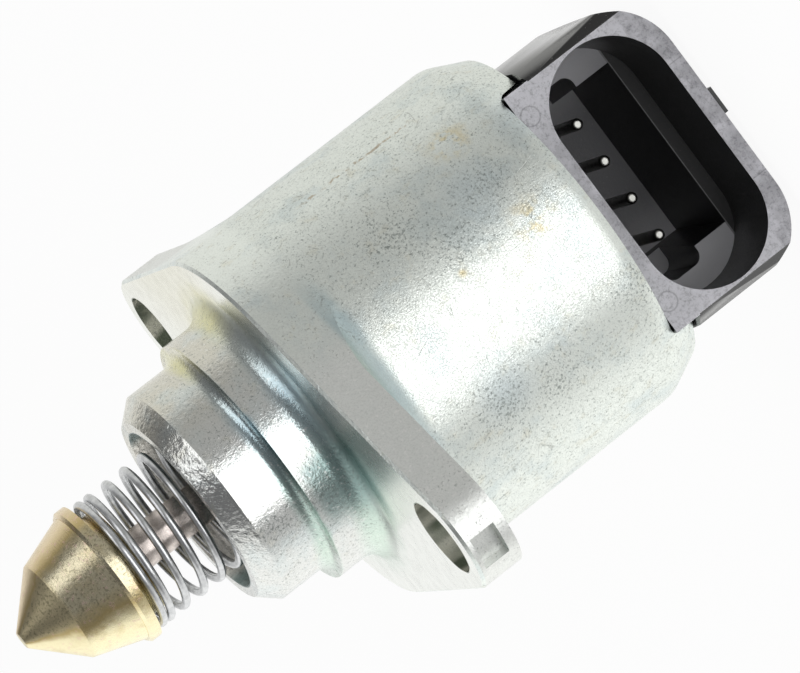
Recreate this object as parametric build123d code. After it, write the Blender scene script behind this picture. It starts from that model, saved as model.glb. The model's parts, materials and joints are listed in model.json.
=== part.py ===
from build123d import *
import math
import os

os.makedirs("parts", exist_ok=True)

# All lengths are in millimetres. The origin is the middle of the mounting face.
# +Z points along the valve axis to the pintle tip, and the connector opens to -Y.

# Housing
can_radius = 16.5
can_wall = 1.5
can_length = 29.2
swage_length = 3.2
swage_drop = 1.5
swage_round = 3.0
flange_thickness = 3.8
bolt_circle = 50.0
bolt_hole = 6.6
ear_radius = 5.0
ear_angle = 62.7
ear_pocket_width = 3.0
ear_pocket_height = 2.3
ear_pocket_start = 0.6
ear_pocket_depth = 1.2
flange_edge = 0.25
flange_root = 2.6
boss_radius = 11.5
boss_height = 4.35
boss_fillet = 2.0
barrel_radius = 10.1
barrel_fillet = 1.0
nose_length = 10.6
nose_face_radius = 8.65
nose_chamfer_length = 1.65
bore_radius = 7.6
bore_depth = 7.6
cavity_start = 3.2
notch_depth = 2.4
notch_width = 23.4
notch_corner = 0.8

# Pintle and shaft
pintle_tip_height = 27.5
pintle_tip_radius = 0.75
pintle_break_height = 23.8
pintle_break_radius = 4.5
pintle_base_radius = 5.95
rim_radius = 6.36
rim_thickness = 1.05
rim_back_height = 18.5
rim_edge = 0.25
pintle_hub_radius = 4.75
pintle_hub_length = 1.6
pintle_socket_depth = 4.0
shaft_diameter = 3.5
shaft_flats = 3.1
flats_angle = -42.0
thread_margin = 3.5
flats_margin = 2.3
flats_upper_gap = 0.4

# Return spring
spring_mean_radius = 5.68
wire_diameter = 0.7
spring_turns = 10.25
spring_closed_turns = 1.75
spring_blend_turns = 1.0
spring_closed_share = 0.42
spring_end_angle = 20.0
points_per_turn = 8
wire_sides = 8

# Travel and running fits
travel_out = 2.5
running_gap = 0.05
moving_gap = 0.3
assembly_gap = 0.05

# Front ball bearing and guide
bearing_radius = 8.0
bearing_bore_radius = 4.0
bearing_width = 4.0
ball_radius = 1.15
ball_count = 8
ball_gap = 0.03
race_wall = 1.3
cage_back = 0.4
guide_radius = 4.0
guide_flange_radius = 5.0
guide_flange_thickness = 0.6

# Stator
plug_length = 3.9
pole_thickness = 1.0
pole_bore_radius = 7.2
claw_thickness = 0.8
claw_tip_gap = 1.0
claw_count = 6
claw_base_angle = 22.0
claw_tip_angle = 13.0
bobbin_wall = 0.6
coil_margin = 0.5

# Rotor
magnet_gap = 0.3
magnet_margin = 1.5
hub_body_radius = 4.5
hub_collar_radius = 5.0
rear_journal_radius = 3.2
hub_inner_radius = 2.3
nut_radius = 3.0
nut_length = 8.0
rear_bush_radius = 5.0
rear_bush_length = 3.4
washer_height = 0.6
washer_thickness = 0.25

# End cap and connector
plug_gap = 0.05
seal_section = 1.6
seal_gap = 0.02
flat_reach = 0.9
rim_height = 12.0
block_half_width = 12.95
block_length = 11.4
block_rear_corner = 6.0
rim_half_width = 11.4
bevel_width = 1.0
bevel_depth = 2.0
neck_gap = 0.2
socket_width = 22.4
socket_span = 10.7
socket_wall = 1.4
socket_depth = 9.8
well_half_width = 8.0
well_rear_ledge = 1.2
well_front_ledge = 0.5
well_depth = 11.2
well_draft = 4.0
key_reach = 1.3
key_span = 3.5
key_corner = 0.9
key_depth = 9.5
nub_width = 2.4
nub_height = 0.5
nub_length = 3.0
nub_offset = 0.6
nub_shift = 1.0

# Terminals
terminal_count = 4
terminal_pitch = 3.7
terminal_diameter = 1.0
terminal_offset = 0.9
terminal_row_gap = 1.2
terminal_bend = 1.2
terminal_tip = 0.3


def tube(outer, inner, low, high):
    """Round tube on the valve axis between two heights."""
    shape = Cylinder(outer, high - low, align=(Align.CENTER, Align.CENTER, Align.MIN))
    if inner > 0:
        shape -= Cylinder(inner, high - low, align=(Align.CENTER, Align.CENTER, Align.MIN))
    return Pos(0, 0, low) * shape


def turned(points):
    """Solid of revolution from a closed outline of radius and height pairs."""
    outline = [(radius, 0, height) for radius, height in points]
    return revolve(make_face(Polyline(*outline, close=True)), Axis.Z)


def swaged(points, radius):
    """Solid of revolution whose wall of one radius ends in the rounded swage at the can's rear."""
    shape = turned([*points, (radius, swage_start), (radius - swage_drop, -can_length), (0, -can_length)])
    return fillet(circles(shape, radius, swage_start), swage_round)


def block(low, high):
    """Box between two corners."""
    size = [b - a for a, b in zip(low, high)]
    centre = [(a + b) / 2 for a, b in zip(low, high)]
    return Pos(*centre) * Box(*size)


def circles(shape, radius, height):
    """Circular edges of a shape with one radius at one height."""
    found = ShapeList()
    for edge in shape.edges().filter_by(GeomType.CIRCLE):
        if abs(edge.radius - radius) < 0.001 and abs(edge.center().Z - height) < 0.001:
            found.append(edge)
    return found


# Heights that follow from the driving sizes
can_inner_radius = can_radius - can_wall
swage_start = swage_length - can_length
swage_inner_radius = can_inner_radius - swage_drop
seat_height = nose_length - bore_depth
bearing_top = bearing_width - cavity_start
cap_front = swage_start + plug_length
phase_length = (-cavity_start - cap_front) / 2
notch_edge = notch_depth - can_length

# Housing outside: nose, boss and can, turned
shell = swaged([
    (0, nose_length),
    (nose_face_radius, nose_length),
    (barrel_radius, nose_length - nose_chamfer_length),
    (barrel_radius, boss_height),
    (boss_radius, boss_height),
    (boss_radius, -flange_thickness / 2),
    (can_radius, -flange_thickness / 2),
], can_radius)
shell = fillet(circles(shell, barrel_radius, boss_height), barrel_fillet)

# Two-eared flange plate with sides tangent to the can
ear_reach = bolt_circle / 2
ear_places = [Rot(0, 0, ear_angle) * Pos(ear_reach, 0), Rot(0, 0, ear_angle + 180) * Pos(ear_reach, 0)]
hull_edges = Circle(can_radius).edges()
for place in ear_places:
    hull_edges += (place * Circle(ear_radius)).edges()
plate = Pos(0, 0, -flange_thickness) * extrude(make_hull(hull_edges), flange_thickness)
plate = chamfer(plate.faces().sort_by(Axis.Z)[-1].edges(), flange_edge)

# Rounded root behind the ears, which runs out along the flange's tangent sides
root_start = -flange_thickness / 2
root_end = -flange_thickness - flange_root
root_radius = can_radius + flange_root
root = turned([(0, root_end), (0, root_start), (root_radius, root_start), (root_radius, root_end)])
root -= Pos(0, 0, root_end) * Torus(root_radius, flange_root)
root &= Pos(0, 0, root_end) * extrude(make_hull(hull_edges), root_start - root_end)
housing = shell + plate + root
housing = fillet(circles(housing, boss_radius, 0), boss_fillet)

# Bolt holes and the small locating pocket in the end of the near ear
for place in ear_places:
    housing -= Pos(0, 0, -flange_thickness) * place * extrude(Circle(bolt_hole / 2), flange_thickness)
pocket = Box(2 * ear_pocket_depth, ear_pocket_width, ear_pocket_height)
pocket_place = Pos(ear_reach + ear_radius, 0, -ear_pocket_start - ear_pocket_height / 2)
housing -= Rot(0, 0, ear_angle + 180) * pocket_place * pocket

# Housing inside: spring bore, guide hole, bearing seat and stator cavity
hollow = swaged([
    (0, nose_length),
    (bore_radius, nose_length),
    (bore_radius, seat_height),
    (guide_radius, seat_height),
    (guide_radius, bearing_top),
    (bearing_radius, bearing_top),
    (bearing_radius, -cavity_start),
    (can_inner_radius, -cavity_start),
], can_inner_radius)
housing -= hollow

# Notch in the swaged end for the connector
notch_cut = block((-notch_width / 2, -2 * can_radius, -2 * can_length), (notch_width / 2, 0, notch_edge))
notch_cut = fillet(notch_cut.edges().filter_by(Axis.Y).sort_by(Axis.Z)[-2:], notch_corner)
housing -= notch_cut
export_step(housing, "parts/housing.step")

# Pintle cone with its spring rim and hub
shaft_radius = shaft_diameter / 2
rim_front = rim_back_height + rim_thickness
hub_back = rim_back_height - pintle_hub_length
pintle = turned([
    (0, pintle_tip_height),
    (pintle_tip_radius, pintle_tip_height),
    (pintle_break_radius, pintle_break_height),
    (pintle_base_radius, rim_front),
    (rim_radius - rim_edge, rim_front),
    (rim_radius, rim_front - rim_edge),
    (rim_radius, rim_back_height),
    (pintle_hub_radius, rim_back_height),
    (pintle_hub_radius, hub_back),
    (shaft_radius, hub_back),
    (shaft_radius, hub_back + pintle_socket_depth),
    (0, hub_back + pintle_socket_depth),
])
export_step(pintle, "parts/pintle.step")

# Shaft with two flats between the pintle and the nut, long enough to stay in both over the travel
hub_top = bearing_top - moving_gap
nut_bottom = hub_top - nut_length
shaft_end = nut_bottom - travel_out - thread_margin
flats_end = bearing_top - travel_out - flats_margin
shaft = tube(shaft_radius, 0, shaft_end, hub_back + pintle_socket_depth)
for side in (1, -1):
    flat_low = (side * shaft_flats / 2, -shaft_diameter, flats_end)
    flat_high = (side * (shaft_flats / 2 + shaft_diameter), shaft_diameter, hub_back - flats_upper_gap)
    low = [min(a, b) for a, b in zip(flat_low, flat_high)]
    high = [max(a, b) for a, b in zip(flat_low, flat_high)]
    shaft -= Rot(0, 0, flats_angle) * block(low, high)
export_step(shaft, "parts/pintle_shaft.step")

# Return spring, left-hand, with closed end turns
spring_low = seat_height + wire_diameter / 2
spring_high = rim_back_height - wire_diameter / 2
steps = round(spring_turns * points_per_turn)


def turn_pitch(turn):
    """Relative pitch at one place along the wire, small in the closed end turns."""
    nearest_end = min(turn, spring_turns - turn)
    blend = min(max((nearest_end - spring_closed_turns) / spring_blend_turns + 0.5, 0), 1)
    return spring_closed_share + (1 - spring_closed_share) * blend * blend * (3 - 2 * blend)


pitch_sums = [0.0]
for step in range(steps):
    pitch_sums.append(pitch_sums[-1] + turn_pitch((step + 0.5) * spring_turns / steps))
wire_points = []
for step in range(steps + 1):
    angle = math.radians(spring_end_angle - 360 * (step - steps) * spring_turns / steps)
    height = spring_low + (spring_high - spring_low) * pitch_sums[step] / pitch_sums[-1]
    wire_points.append((spring_mean_radius * math.cos(angle), spring_mean_radius * math.sin(angle), height))
wire_path = Spline(*wire_points)
wire_start = Plane(origin=wire_path @ 0, z_dir=wire_path % 0)
wire_section = wire_start * RegularPolygon(wire_diameter / 2, wire_sides)
spring = sweep(wire_section, path=wire_path, is_frenet=True)
export_step(spring, "parts/return_spring.step")

# Guide bush with a two-flat hole
flats_hole = tube(shaft_radius + running_gap, 0, bearing_top, seat_height + guide_flange_thickness)
flats_box = Pos(0, 0, seat_height) * Box(shaft_flats + 2 * running_gap, 2 * shaft_diameter, 4 * nose_length)
flats_hole &= Rot(0, 0, flats_angle) * flats_box
guide_bush = tube(guide_radius, 0, bearing_top, seat_height)
guide_bush += tube(guide_flange_radius, 0, seat_height, seat_height + guide_flange_thickness)
guide_bush -= flats_hole
export_step(guide_bush, "parts/guide_bush.step")

# Front ball bearing: races with ball grooves, balls and cage
ball_height = bearing_top - bearing_width / 2
ball_circle = (bearing_radius + bearing_bore_radius) / 2
groove = Pos(0, 0, ball_height) * Torus(ball_circle, ball_radius + ball_gap)
outer_race = tube(bearing_radius, bearing_radius - race_wall, -cavity_start, bearing_top) - groove
inner_race = tube(bearing_bore_radius + race_wall, bearing_bore_radius, -cavity_start, bearing_top) - groove
export_step(outer_race, "parts/bearing_outer_race.step")
export_step(inner_race, "parts/bearing_inner_race.step")
balls = []
pockets = []
for number in range(ball_count):
    place = Rot(0, 0, 360 * number / ball_count) * Pos(ball_circle, 0, ball_height)
    balls.append(place * Sphere(ball_radius))
    pockets.append(place * Sphere(ball_radius + ball_gap))
export_step(Compound(children=balls), "parts/bearing_balls.step")
race_space = bearing_radius - bearing_bore_radius - 2 * race_wall
cage_half = race_space / 2 - moving_gap
cage_low = ball_height - ball_radius - cage_back
cage = tube(ball_circle + cage_half, ball_circle - cage_half, cage_low, ball_height)
cage -= pockets
export_step(cage, "parts/bearing_cage.step")

# Claw poles of the two phases
shell_outer = can_inner_radius - assembly_gap
shell_inner = shell_outer - pole_thickness
claw_length = phase_length - 2 * pole_thickness - claw_tip_gap


def claws(base_height, direction, turn):
    """Ring of tapered pole claws that start at a plate and point along the axis."""
    tip_height = base_height + direction * claw_length
    low = min(base_height, tip_height)
    high = max(base_height, tip_height)
    ring = tube(pole_bore_radius + claw_thickness, pole_bore_radius, low, high)
    reach = pole_bore_radius + 2 * claw_thickness
    base_half = reach * math.tan(math.radians(claw_base_angle / 2))
    tip_half = reach * math.tan(math.radians(claw_tip_angle / 2))
    outline = Polyline(
        (0, -base_half, base_height),
        (0, -tip_half, tip_height),
        (0, tip_half, tip_height),
        (0, base_half, base_height),
        close=True,
    )
    wedge = extrude(make_face(outline), amount=reach, dir=(1, 0, 0))
    result = []
    for number in range(claw_count):
        result.append(ring & (Rot(0, 0, turn + 360 * number / claw_count) * wedge))
    return result


def pole_cup(front, back, plate_at_front, turn):
    """Outer cup of a phase: end plate, outer shell and claws."""
    if plate_at_front:
        plate_low = front - pole_thickness
        base_height = plate_low
        direction = -1
    else:
        plate_low = back
        base_height = back + pole_thickness
        direction = 1
    cup = tube(shell_outer, shell_inner, back, front)
    cup += tube(shell_outer, pole_bore_radius, plate_low, plate_low + pole_thickness)
    return cup + claws(base_height, direction, turn)


def pole_plate(plate_low, direction, turn):
    """Inner plate of a phase with its claws."""
    disc = tube(shell_inner - assembly_gap, pole_bore_radius, plate_low, plate_low + pole_thickness)
    if direction > 0:
        base_height = plate_low + pole_thickness
    else:
        base_height = plate_low
    return disc + claws(base_height, direction, turn)


def bobbin(low, high):
    """Plastic spool between the plates of a phase."""
    inner = pole_bore_radius + claw_thickness + assembly_gap
    outer = shell_inner - coil_margin
    spool = tube(inner + bobbin_wall, inner, low, high)
    spool += tube(outer, inner, low, low + bobbin_wall)
    spool += tube(outer, inner, high - bobbin_wall, high)
    return spool


def coil(low, high):
    """Wound copper between the flanges of a spool."""
    inner = pole_bore_radius + claw_thickness + assembly_gap + bobbin_wall
    outer = shell_inner - 2 * coil_margin
    return tube(outer, inner, low + bobbin_wall, high - bobbin_wall)


claw_step = 180 / claw_count
middle = -cavity_start - phase_length
front_cup = pole_cup(-cavity_start, middle, True, 0)
front_plate = pole_plate(middle, 1, claw_step)
rear_plate = pole_plate(middle - pole_thickness, -1, claw_step / 2)
rear_cup = pole_cup(middle, cap_front, False, claw_step * 1.5)
export_step(front_cup, "parts/front_pole_cup.step")
export_step(front_plate, "parts/front_pole_plate.step")
export_step(rear_plate, "parts/rear_pole_plate.step")
export_step(rear_cup, "parts/rear_pole_cup.step")
front_spool_low = middle + pole_thickness
front_spool_high = -cavity_start - pole_thickness
rear_spool_low = cap_front + pole_thickness
rear_spool_high = middle - pole_thickness
export_step(bobbin(front_spool_low, front_spool_high), "parts/front_bobbin.step")
export_step(coil(front_spool_low, front_spool_high), "parts/front_coil.step")
export_step(bobbin(rear_spool_low, rear_spool_high), "parts/rear_bobbin.step")
export_step(coil(rear_spool_low, rear_spool_high), "parts/rear_coil.step")

# Rotor: hub on the bearing, ring magnet and threaded nut
magnet_radius = pole_bore_radius - magnet_gap
magnet_top = middle + phase_length - magnet_margin
magnet_bottom = middle - phase_length + magnet_margin
bush_front = cap_front + moving_gap
hub_end = bush_front + moving_gap
journal_end = bush_front - rear_bush_length + moving_gap
rotor_hub = turned([
    (nut_radius, hub_top),
    (bearing_bore_radius, hub_top),
    (bearing_bore_radius, -cavity_start),
    (hub_collar_radius, -cavity_start),
    (hub_collar_radius, magnet_top),
    (hub_body_radius, magnet_top),
    (hub_body_radius, hub_end),
    (rear_journal_radius, hub_end),
    (rear_journal_radius, journal_end),
    (hub_inner_radius, journal_end),
    (hub_inner_radius, nut_bottom),
    (nut_radius, nut_bottom),
])
export_step(rotor_hub, "parts/rotor_hub.step")
export_step(tube(nut_radius, shaft_radius + running_gap, nut_bottom, hub_top), "parts/rotor_nut.step")
export_step(tube(magnet_radius, hub_body_radius, magnet_bottom, magnet_top), "parts/rotor_magnet.step")

# Rear bush and the spring washer behind it
bush_back = bush_front - rear_bush_length
washer_back = bush_back - washer_height
rear_bush = tube(rear_bush_radius, rear_journal_radius + running_gap, bush_back, bush_front)
washer_inner = rear_journal_radius
washer_outer = rear_bush_radius - assembly_gap
washer = turned([
    (washer_inner, bush_back),
    (washer_inner, bush_back - washer_thickness),
    (washer_outer, washer_back),
    (washer_outer, washer_back + washer_thickness),
])
export_step(rear_bush, "parts/rear_bush.step")
export_step(washer, "parts/preload_washer.step")

# End cap: plug held by the swage, connector block and socket
plug_radius = can_inner_radius - plug_gap
seal_height = swage_start + plug_length / 2
seal_inner = can_inner_radius - seal_section
plug = swaged([(0, cap_front), (plug_radius, cap_front)], plug_radius)
block_front = -can_length - neck_gap
block_rear = block_front - block_length
neck_front = notch_edge - neck_gap
flat_front = notch_edge + flat_reach
plug -= block((-can_radius, -can_radius, -can_length), (can_radius, -rim_height, flat_front))

# The block has a half-round back and drafted sides, a bevel at the rim's ends and rounded rear corners
bevel_half_width = rim_half_width + bevel_width
block_outline = Polyline(
    (block_half_width, 0),
    (bevel_half_width, bevel_depth - rim_height),
    (rim_half_width, -rim_height),
    (-rim_half_width, -rim_height),
    (-bevel_half_width, bevel_depth - rim_height),
    (-block_half_width, 0),
)
block_outline += ThreePointArc((-block_half_width, 0), (0, block_half_width), (block_half_width, 0))
body = Pos(0, 0, block_rear) * extrude(make_face(block_outline), -can_length - block_rear)
corner_box = block(
    (-block_half_width, -rim_height, block_rear), (block_half_width, block_half_width, -can_length)
)
body &= fillet(corner_box.edges().filter_by(Axis.Y).sort_by(Axis.Z)[:2], block_rear_corner)
body -= tube(2 * can_radius, swage_inner_radius - plug_gap, block_front, -can_length)
neck_half_width = notch_width / 2 - neck_gap
neck = block((-neck_half_width, -rim_height, block_front), (neck_half_width, 0, neck_front))
cap = plug + body + neck

# Oval socket with a ledge, and below it the well of the pins with a keyway at each end
socket_rear = block_rear + socket_wall
socket_middle = socket_rear + socket_span / 2
ledge = socket_depth - rim_height
well_floor = ledge + well_depth
well_span = socket_span - well_rear_ledge - well_front_ledge
well_middle = socket_rear + well_rear_ledge + well_span / 2
terminal_height = socket_middle + terminal_offset
socket_plane = Plane(origin=(0, -rim_height, socket_middle), x_dir=(1, 0, 0), z_dir=(0, 1, 0))
well_plane = Plane(origin=(0, ledge, well_middle), x_dir=(1, 0, 0), z_dir=(0, 1, 0))
key_plane = Plane(origin=(0, ledge, terminal_height), x_dir=(1, 0, 0), z_dir=(0, 1, 0))
key_width = 2 * (well_half_width + key_reach)
cap -= extrude(socket_plane * SlotOverall(socket_width, socket_span), socket_depth)
cap -= extrude(well_plane * Rectangle(2 * well_half_width, well_span), well_depth, taper=well_draft)
cap -= extrude(key_plane * RectangleRounded(key_width, key_span, key_corner), key_depth)
nub_low = (nub_shift - nub_width / 2, nub_offset - rim_height, block_rear - nub_height)
nub_high = (nub_shift + nub_width / 2, nub_offset + nub_length - rim_height, block_rear)
cap += block(nub_low, nub_high)
seal_ring = Pos(0, 0, seal_height) * Torus(can_inner_radius - seal_section / 2, seal_section / 2 - seal_gap)
cap -= tube(can_radius, seal_inner, seal_height - seal_section / 2, seal_height + seal_section / 2)
cap -= tube(rear_bush_radius, 0, washer_back, cap_front)

# Terminals: bent round pins from the well to the windings
terminal_row = well_floor + terminal_row_gap
for number in range(terminal_count):
    place = (number - (terminal_count - 1) / 2) * terminal_pitch
    path = FilletPolyline(
        (place, ledge, terminal_height),
        (place, terminal_row, terminal_height),
        (place, terminal_row, cap_front - moving_gap),
        radius=terminal_bend,
    )
    start = Plane(origin=(place, ledge, terminal_height), z_dir=(0, 1, 0))
    pin = sweep(start * Circle(terminal_diameter / 2), path=path)
    cap -= pin
    pin = fillet(pin.edges().sort_by(Axis.Y)[0], terminal_tip)
    export_step(pin, f"parts/terminal_{number + 1}.step")
export_step(cap, "parts/end_cap.step")
export_step(seal_ring, "parts/cap_seal.step")
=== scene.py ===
"""Idle air control valve: finishes, wire spring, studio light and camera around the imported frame."""

import json
import logging
import math
from dataclasses import dataclass
from enum import Enum
from functools import reduce
from typing import Any, Iterable, Sequence

import bpy
import bmesh
import numpy as np
from mathutils import Matrix, Vector


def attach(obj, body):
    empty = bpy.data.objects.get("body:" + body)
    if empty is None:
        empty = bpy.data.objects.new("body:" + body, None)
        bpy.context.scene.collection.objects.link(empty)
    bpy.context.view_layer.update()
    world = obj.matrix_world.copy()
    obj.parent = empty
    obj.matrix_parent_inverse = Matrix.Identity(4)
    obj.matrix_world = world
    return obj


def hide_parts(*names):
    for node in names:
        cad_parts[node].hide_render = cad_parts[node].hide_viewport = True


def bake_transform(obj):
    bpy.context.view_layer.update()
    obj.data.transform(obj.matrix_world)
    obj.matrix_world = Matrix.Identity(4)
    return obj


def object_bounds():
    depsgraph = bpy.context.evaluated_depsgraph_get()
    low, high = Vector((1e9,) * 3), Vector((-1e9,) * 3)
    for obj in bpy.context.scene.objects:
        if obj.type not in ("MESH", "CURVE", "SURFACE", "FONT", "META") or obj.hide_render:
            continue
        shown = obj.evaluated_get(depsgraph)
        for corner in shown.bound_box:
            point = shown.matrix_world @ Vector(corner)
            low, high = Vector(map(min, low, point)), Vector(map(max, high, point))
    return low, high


LOG = logging.getLogger("valve")
MM = 0.001

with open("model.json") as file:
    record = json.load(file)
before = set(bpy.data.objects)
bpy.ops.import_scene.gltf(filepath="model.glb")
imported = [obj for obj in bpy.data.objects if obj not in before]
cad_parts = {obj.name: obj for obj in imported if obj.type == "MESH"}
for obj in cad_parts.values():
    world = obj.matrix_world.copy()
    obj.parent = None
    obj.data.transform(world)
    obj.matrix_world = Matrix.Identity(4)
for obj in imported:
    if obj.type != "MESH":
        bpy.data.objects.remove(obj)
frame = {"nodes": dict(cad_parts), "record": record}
cad_low, cad_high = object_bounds()

# A band runs from none to full, a span is a rise and a fall, a line is a factor and an offset, and a bump is
# a strength and a height in metres.
Band = tuple[float, float]
Span = tuple[Band, Band]
Line = tuple[float, float]
Bump = tuple[float, float]
Point = tuple[float, float]
Colour = tuple[float, float, float]
Spot = tuple[float, float, float]
Spots = Sequence[Spot]
Stops = Sequence[tuple[float, Colour]]
Material = bpy.types.Material
Piece = bpy.types.Object
Socket = bpy.types.NodeSocket
Input = Any

WHITE: Colour = (1.0, 1.0, 1.0)


class Body(str, Enum):
    """Bodies that carry the new pieces."""

    VALVE = "valve_body"
    PINTLE = "pintle_set"


@dataclass(frozen=True)
class Noise:
    """Noise texture: scale, octaves and weight of the finer octaves."""

    scale: float
    detail: float
    rough: float = 0.6


@dataclass(frozen=True)
class Coat:
    """Colour that lies over another one where a value is inside a band."""

    colour: Colour
    low: float
    high: float
    share: float = 1.0


class Graph:
    """Helper that adds nodes to one node tree."""

    def __init__(self, tree: bpy.types.NodeTree) -> None:
        """Starts from an empty tree of a material, a world or a geometry group."""
        self.tree = tree
        tree.nodes.clear()

    def put(self, socket: Socket, value: Input) -> None:
        """Links a socket or sets its constant.

        Args:
            socket: Input socket.
            value: Output socket, number, vector or colour, or None to leave the socket as it is.
        """
        if isinstance(value, Socket):
            self.tree.links.new(value, socket)
        elif value is not None:
            default = socket.default_value
            if hasattr(default, "__len__") and len(default) == 4 and len(value) == 3:
                value = (*value, 1.0)
            socket.default_value = value

    def add(self, kind: str, inputs: dict[Any, Input] | None = None, **settings: Any) -> bpy.types.Node:
        """Adds one node.

        Args:
            kind: Blender's node type.
            inputs: Values by socket name or number.
            settings: Properties of the node.

        Returns:
            The new node.
        """
        node = self.tree.nodes.new(kind)
        for name, value in settings.items():
            setattr(node, name, value)
        for name, value in (inputs or {}).items():
            self.put(node.inputs[name], value)
        return node

    def math(self, operation: str, a: Input, b: Input = None, c: Input = None, clamp: bool = False) -> Socket:
        """Result of a Math node, kept from 0 to 1 where clamp is set."""
        inputs = {0: a, 1: b, 2: c}
        return self.add("ShaderNodeMath", inputs, operation=operation, use_clamp=clamp).outputs[0]

    def times(self, first: Input, *others: Input) -> Socket:
        """Product of values."""
        return reduce(lambda product, other: self.math("MULTIPLY", product, other), others, first)

    def most(self, first: Input, *others: Input) -> Socket:
        """Largest of values."""
        return reduce(lambda largest, other: self.math("MAXIMUM", largest, other), others, first)

    def scaled(self, value: Input, factor: float, offset: Input) -> Socket:
        """A value times a factor, plus an offset."""
        return self.math("MULTIPLY_ADD", value, factor, offset)

    def apart(self, value: Input, middle: Input = 0.0) -> Socket:
        """How far a value lies from another, or from zero."""
        return self.math("ABSOLUTE", self.math("SUBTRACT", value, middle))

    def reach(self, a: Input, b: Input, middle: Point = (0.0, 0.0)) -> Socket:
        """Distance from a point in a plane.

        Args:
            a: First coordinate.
            b: Second coordinate.
            middle: Point that the distance is taken from.

        Returns:
            The distance.
        """
        off_a = self.math("SUBTRACT", a, middle[0])
        off_b = self.math("SUBTRACT", b, middle[1])
        return self.math("SQRT", self.math("ADD", self.times(off_a, off_a), self.times(off_b, off_b)))

    def turn_from(self, x: Input, y: Input) -> Socket:
        """Angle round the axis from the connector's side, in radians."""
        return self.math("ARCTAN2", x, self.times(y, -1.0))

    def front_share(self, angle: Input) -> Socket:
        """Place of an angle on the half turn that faces the connector's side, from 0 to 1."""
        return self.math("MULTIPLY_ADD", angle, 1.0 / math.pi, 0.5, clamp=True)

    def band(self, value: Input, low: float, high: float) -> Socket:
        """Smooth rise from 0 to 1 between two values, or fall where low is above high.

        Args:
            value: Value that is tested.
            low: Value that gives 0.
            high: Value that gives 1.

        Returns:
            The mask.
        """
        inputs = {0: value, 1: low, 2: high, 3: 0.0, 4: 1.0}
        if low > high:
            inputs = {0: value, 1: high, 2: low, 3: 1.0, 4: 0.0}
        return self.add("ShaderNodeMapRange", inputs, interpolation_type="SMOOTHSTEP").outputs[0]

    def between(self, value: Input, rise: Band, fall: Band) -> Socket:
        """Mask that rises in one band and falls in another."""
        return self.times(self.band(value, *rise), self.band(value, *fall))

    def noise(self, vector: Input, noise: Noise) -> Socket:
        """Value of a noise texture."""
        inputs = {"Vector": vector, "Scale": noise.scale, "Detail": noise.detail, "Roughness": noise.rough}
        return self.add("ShaderNodeTexNoise", inputs).outputs[0]

    def mix(self, share: Input, a: Input, b: Input) -> Socket:
        """Mixes two colours by the share of the second."""
        return self.add("ShaderNodeMix", {0: share, 6: a, 7: b}, data_type="RGBA").outputs[2]

    def coat(self, base: Input, coat: Coat, value: Input, *masks: Input) -> Socket:
        """Lays a coat over a colour where a value is inside its band, held back by masks."""
        amount = self.times(self.band(value, coat.low, coat.high), coat.share, *masks)
        return self.mix(amount, base, coat.colour)

    def ramp(self, share: Input, stops: Stops) -> Socket:
        """Adds a colour ramp.

        Args:
            share: Place on the ramp.
            stops: Places and colours.

        Returns:
            The colour.
        """
        node = self.add("ShaderNodeValToRGB", {0: share})
        elements = node.color_ramp.elements
        while len(elements) < len(stops):
            elements.new(1.0)
        for element, (place, colour) in zip(elements, stops):
            element.position = place
            element.color = (*colour, 1.0)
        return node.outputs[0]

    def millimetres(self) -> Socket:
        """Object coordinates in millimetres."""
        inputs = {0: self.add("ShaderNodeTexCoord").outputs["Object"], 3: 1.0 / MM}
        return self.add("ShaderNodeVectorMath", inputs, operation="SCALE").outputs[0]

    def normal(self) -> tuple[Socket, ...]:
        """The three parts of the surface's direction."""
        return self.split(self.add("ShaderNodeNewGeometry").outputs["Normal"])

    def split(self, vector: Input) -> tuple[Socket, ...]:
        """The three parts of a vector."""
        return tuple(self.add("ShaderNodeSeparateXYZ", {0: vector}).outputs)

    def join(self, x: Input, y: Input, z: Input) -> Socket:
        """A vector from three parts."""
        return self.add("ShaderNodeCombineXYZ", {0: x, 1: y, 2: z}).outputs[0]

    def dot(self, vector: Input, direction: Vector) -> Socket:
        """Share of a vector along a direction."""
        inputs = {0: vector, 1: direction}
        return self.add("ShaderNodeVectorMath", inputs, operation="DOT_PRODUCT").outputs["Value"]

    def bump(self, height: Input, strength: float, distance: float) -> Socket:
        """Normal that is bent by a height map of a given strength and height in metres."""
        inputs = {"Height": height, "Strength": strength, "Distance": distance}
        return self.add("ShaderNodeBump", inputs).outputs[0]

    def close_surface(self, inputs: dict[str, Input]) -> None:
        """Ends a material in a Principled shader with the given values of its sockets."""
        shader = self.add("ShaderNodeBsdfPrincipled", inputs)
        self.add("ShaderNodeOutputMaterial", {0: shader.outputs[0]})


def new_material(name: str) -> tuple[Material, Graph]:
    """Makes an empty material.

    Args:
        name: Name of the material.

    Returns:
        The material and its node helper.
    """
    material = bpy.data.materials.new(name)
    material.use_nodes = True
    return material, Graph(material.node_tree)


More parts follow.
